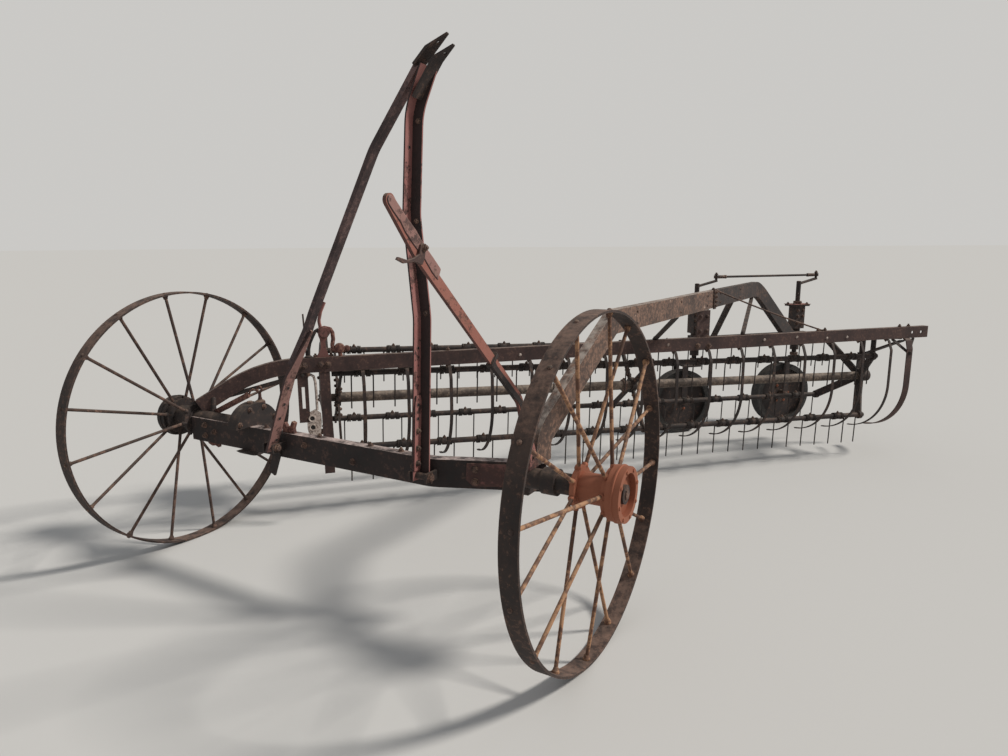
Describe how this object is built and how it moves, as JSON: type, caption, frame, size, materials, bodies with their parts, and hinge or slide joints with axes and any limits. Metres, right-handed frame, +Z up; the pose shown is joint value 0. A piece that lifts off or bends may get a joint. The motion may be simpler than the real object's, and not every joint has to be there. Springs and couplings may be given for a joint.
{
  "type": "side delivery hay rake",
  "caption": "Antique towed side delivery rake: two tall spoked steel wheels, slanted rake beam with stripper bows, turning tine reel, rear casters and folded drawbar.",
  "frame": {"origin": "bottom centre of the whole machine at rest, on the ground", "axes": "+Z up; -Y the way it is towed, +Y to the rear; +X to the machine's left"},
  "size_m": [3.5294, 5.18, 2.322],
  "materials": {
    "rust_dark": "rough dark rust",
    "rust_warm": "rough brown rust",
    "faded_red": "chalky worn paint over rust",
    "hub_rust": "rough orange-brown rust",
    "spoke_tan": "weathered pale rust",
    "arch_flaked": "flaking pale primer over rust",
    "grey_tube": "dusty weathered grey",
    "tyre_black": "matte dusty"
  },
  "bodies": {
    "frame": {"front_channel": "rust_warm", "axle_left": "rust_dark", "axle_right": "rust_dark", "gear_case": "rust_dark", "main_beam": "rust_warm", "strippers_front": "rust_dark", "strippers_rear": "rust_dark", "end_stripper": "rust_warm", "eccentric_disc": "rust_dark", "reel_hanger_front": "rust_dark", "slotted_strap": "rust_dark", "reel_hanger_rear": "rust_dark", "arch": "arch_flaked", "caster_beam": "rust_dark", "arch_rear": "arch_flaked", "arch_splice": "arch_flaked", "arch_brace": "arch_flaked", "drawbar_brackets": "faded_red", "hanging_strap": "rust_dark", "lift_lever": "faded_red", "shift_lever": "faded_red", "beam_bracket": "faded_red", "arch_post": "arch_flaked"},
    "wheel_left": {"rim_left": "rust_dark", "hub_left": "hub_rust", "spokes_left": "spoke_tan"},
    "wheel_right": {"rim_right": "rust_dark", "hub_right": "hub_rust", "spokes_right": "spoke_tan"},
    "reel": {"reel_tube": "grey_tube", "reel_spiders": "rust_dark"},
    "crank_head": {"crank_spider": "rust_dark"},
    "tine_bar_body_1": {"tine_bar_1": "rust_dark", "tines_1": "rust_dark"},
    "tine_bar_body_2": {"tine_bar_2": "rust_dark", "tines_2": "rust_dark"},
    "tine_bar_body_3": {"tine_bar_3": "rust_dark", "tines_3": "rust_dark"},
    "tine_bar_body_4": {"tine_bar_4": "rust_dark", "tines_4": "rust_dark"},
    "caster_one": {"caster_fork_1": "rust_dark"},
    "caster_two": {"caster_fork_2": "rust_dark"},
    "caster_wheel_one": {"caster_tyre_1": "tyre_black", "caster_disc_1": "rust_dark"},
    "caster_wheel_two": {"caster_tyre_2": "tyre_black", "caster_disc_2": "rust_dark"},
    "tie_rod_body": {"tie_rod": "rust_dark"},
    "drawbar": {"drawbar_bar_right": "rust_dark", "drawbar_strap_right": "faded_red", "drawbar_bar_left": "faded_red", "drawbar_jaw": "rust_dark"}
  },
  "joints": [
    {"name": "wheel_left_spin", "type": "hinge", "parent": "frame", "child": "wheel_left", "pos_m": [0.67135, -1.76602, 0.66], "axis": [1, 0, 0], "continuous": true},
    {"name": "wheel_right_spin", "type": "hinge", "parent": "frame", "child": "wheel_right", "pos_m": [-1.63865, -1.76602, 0.66], "axis": [1, 0, 0], "continuous": true},
    {"name": "reel_turn", "type": "hinge", "parent": "frame", "child": "reel", "pos_m": [-0.00755, 0.37489, 0.60475], "axis": [0.6761, 0.7363, -0.0279], "continuous": true},
    {"name": "crank_head_turn", "type": "hinge", "parent": "frame", "child": "crank_head", "pos_m": [-1.41558, -1.00167, 0.76578], "axis": [0.6761, 0.7363, -0.0279], "continuous": true},
    {"name": "tine_bar_1_turn", "type": "hinge", "parent": "reel", "child": "tine_bar_body_1", "pos_m": [-0.1439, 0.50981, 0.86088], "axis": [0.6761, 0.7363, -0.0279], "continuous": true},
    {"name": "tine_bar_2_turn", "type": "hinge", "parent": "reel", "child": "tine_bar_body_2", "pos_m": [0.18481, 0.20553, 0.79636], "axis": [0.6761, 0.7363, -0.0279], "continuous": true},
    {"name": "tine_bar_3_turn", "type": "hinge", "parent": "reel", "child": "tine_bar_body_3", "pos_m": [0.12881, 0.23997, 0.34862], "axis": [0.6761, 0.7363, -0.0279], "continuous": true},
    {"name": "tine_bar_4_turn", "type": "hinge", "parent": "reel", "child": "tine_bar_body_4", "pos_m": [-0.1999, 0.54426, 0.41314], "axis": [0.6761, 0.7363, -0.0279], "continuous": true},
    {"name": "caster_one_swivel", "type": "hinge", "parent": "frame", "child": "caster_one", "pos_m": [0.12511, 1.67998, 0.7], "axis": [0, 0, 1], "continuous": true},
    {"name": "caster_wheel_one_spin", "type": "hinge", "parent": "caster_one", "child": "caster_wheel_one", "pos_m": [0.04395, 1.59159, 0.262], "axis": [0.7366, -0.6764, 0], "continuous": true},
    {"name": "caster_two_swivel", "type": "hinge", "parent": "frame", "child": "caster_two", "pos_m": [0.80147, 2.41655, 0.7], "axis": [0, 0, 1], "continuous": true},
    {"name": "caster_wheel_two_spin", "type": "hinge", "parent": "caster_two", "child": "caster_wheel_two", "pos_m": [0.72031, 2.32816, 0.262], "axis": [0.7366, -0.6764, 0], "continuous": true},
    {"name": "tie_rod_pivot", "type": "hinge", "parent": "caster_one", "child": "tie_rod_body", "pos_m": [0.23889, 1.83346, 1.277], "axis": [0, 0, 1], "continuous": true},
    {"name": "drawbar_fold", "type": "hinge", "parent": "frame", "child": "drawbar", "pos_m": [-0.48365, -1.86602, 0.622], "axis": [1, 0, 0], "range_deg": [0, 105]}
  ],
  "couplings": [
    {"joint": "crank_head_turn", "follows": "reel_turn", "ratio": 1},
    {"joint": "tine_bar_1_turn", "follows": "reel_turn", "ratio": -1},
    {"joint": "tine_bar_2_turn", "follows": "reel_turn", "ratio": -1},
    {"joint": "tine_bar_3_turn", "follows": "reel_turn", "ratio": -1},
    {"joint": "tine_bar_4_turn", "follows": "reel_turn", "ratio": -1},
    {"joint": "caster_two_swivel", "follows": "caster_one_swivel", "ratio": 1},
    {"joint": "tie_rod_pivot", "follows": "caster_one_swivel", "ratio": -1}
  ]
}
